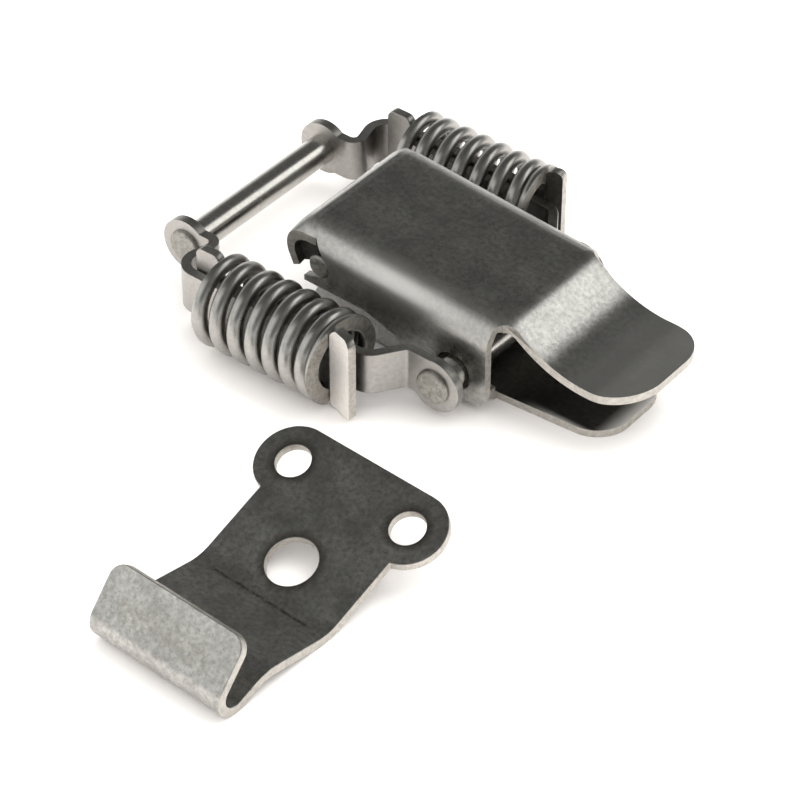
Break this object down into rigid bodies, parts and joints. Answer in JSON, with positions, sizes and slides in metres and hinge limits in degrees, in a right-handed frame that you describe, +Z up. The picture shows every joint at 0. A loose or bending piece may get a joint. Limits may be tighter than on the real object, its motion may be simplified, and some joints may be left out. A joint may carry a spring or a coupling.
{
  "type": "toggle latch",
  "caption": "Stainless steel toggle latch with a curled lever on a base plate, a sprung strap claw with a crossbar, and a separate hooked catch plate.",
  "frame": {"origin": "on the mounting plane, midway between the base plate's two screw holes", "axes": "+X towards the tip of the lever's tongue, +Y to the latch's left, +Z up from the mounting plane"},
  "size_m": [0.0854, 0.1205, 0.0196],
  "materials": {
    "sheet_steel": "tumbled satin stainless sheet",
    "pin_steel": "drawn stainless bar with peened ends",
    "spring_wire": "drawn stainless spring wire"
  },
  "bodies": {
    "base": {"base_plate": "sheet_steel", "lever_pivot_pin": "pin_steel", "catch_plate": "sheet_steel"},
    "lever": {"lever": "sheet_steel", "link_pin": "pin_steel"},
    "links": {"left_front_strap": "sheet_steel", "right_front_strap": "sheet_steel", "left_spring": "spring_wire", "right_spring": "spring_wire"},
    "claw": {"left_rear_strap": "sheet_steel", "right_rear_strap": "sheet_steel", "crossbar": "pin_steel"}
  },
  "joints": [
    {"name": "lever_hinge", "type": "hinge", "parent": "base", "child": "lever", "pos_m": [-0.0152, 0, 0.0129], "axis": [0, -1, 0], "range_deg": [0, 95]},
    {"name": "link_swing", "type": "hinge", "parent": "lever", "child": "links", "pos_m": [0.011, 0, 0.0058], "axis": [0, 1, 0], "range_deg": [0, 165]},
    {"name": "claw_slide", "type": "slide", "parent": "links", "child": "claw", "axis": [-1, 0, 0], "range_m": [0, 0.005], "stiffness_N_per_m": 5000, "deforming": ["left_spring", "right_spring"]}
  ]
}
